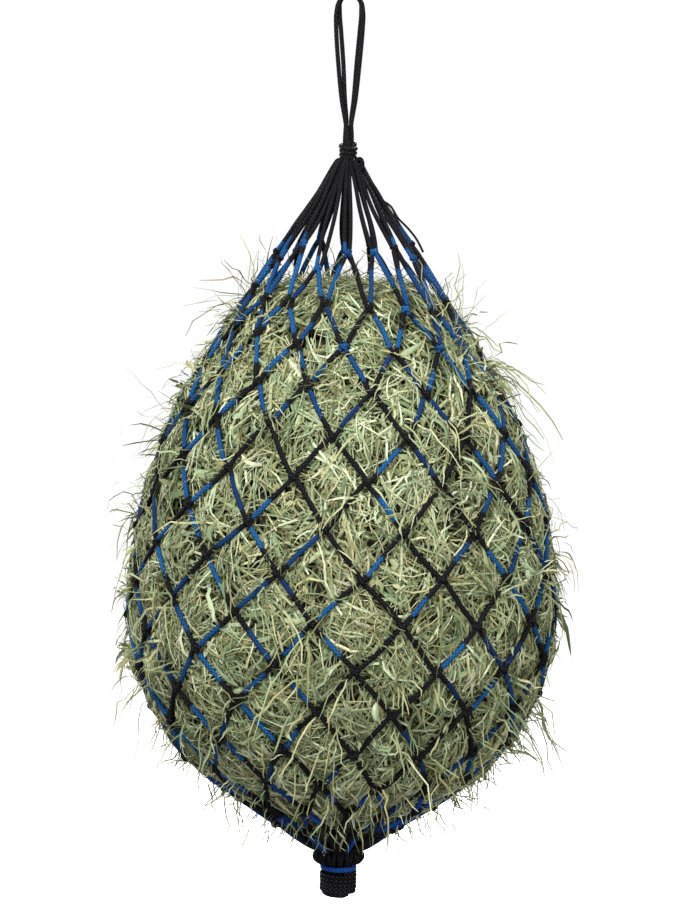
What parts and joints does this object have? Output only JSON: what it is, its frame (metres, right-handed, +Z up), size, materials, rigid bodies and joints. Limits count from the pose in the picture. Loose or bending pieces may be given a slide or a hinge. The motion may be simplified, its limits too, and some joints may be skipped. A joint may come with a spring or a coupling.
{
  "type": "filled hay net",
  "caption": "Knotted diamond-mesh feed net packed with hay, drawn shut by a coil knot and hanging from a doubled cord loop, with a ring and a whipped stub at the bottom.",
  "frame": {"origin": "inside top of the hanging loop, where a hook bears", "axes": "+Z up along the hanging line, -Y towards the front of the object, +X to its right seen from the front"},
  "size_m": [0.4326, 0.4331, 0.907],
  "materials": {
    "drawcord": "black braided polypropylene cord",
    "net_twine": "black and blue braided twine",
    "blue_twine": "blue braided twine",
    "hay": "dry grass hay"
  },
  "bodies": {
    "hanging_loop": {"hanging_loop_front": "drawcord", "hanging_loop_back": "drawcord"},
    "throat": {"strand_bundle": "drawcord"},
    "net": {"neck_wrap": "drawcord", "draw_ring": "drawcord", "neck_course": "net_twine", "net_course_02": "net_twine", "net_course_03": "net_twine", "net_course_04": "net_twine", "net_course_05": "net_twine", "net_course_06": "net_twine", "net_course_07": "net_twine", "net_course_08": "net_twine", "net_course_09": "net_twine", "net_course_10": "net_twine", "net_course_11": "net_twine", "net_course_12": "net_twine", "net_course_13": "net_twine", "net_course_14": "net_twine", "net_course_15": "net_twine", "bottom_course": "net_twine", "bottom_ring": "net_twine", "loose_end": "net_twine", "hay_fill": "hay"},
    "tail": {"tail_core": "drawcord", "tail_whipping": "drawcord", "tail_blue_turn": "blue_twine"}
  },
  "joints": [
    {"name": "net_spin", "type": "hinge", "parent": "hanging_loop", "child": "throat", "pos_m": [0, 0, -0.1302], "axis": [0, 0, 1], "range_deg": [-90, 90]},
    {"name": "net_swing", "type": "hinge", "parent": "throat", "child": "net", "pos_m": [0, 0, -0.142], "axis": [0, 1, 0], "range_deg": [-30, 30]},
    {"name": "tail_swing", "type": "hinge", "parent": "net", "child": "tail", "pos_m": [0, 0, -0.86], "axis": [0, 1, 0], "range_deg": [-12, 12]}
  ]
}
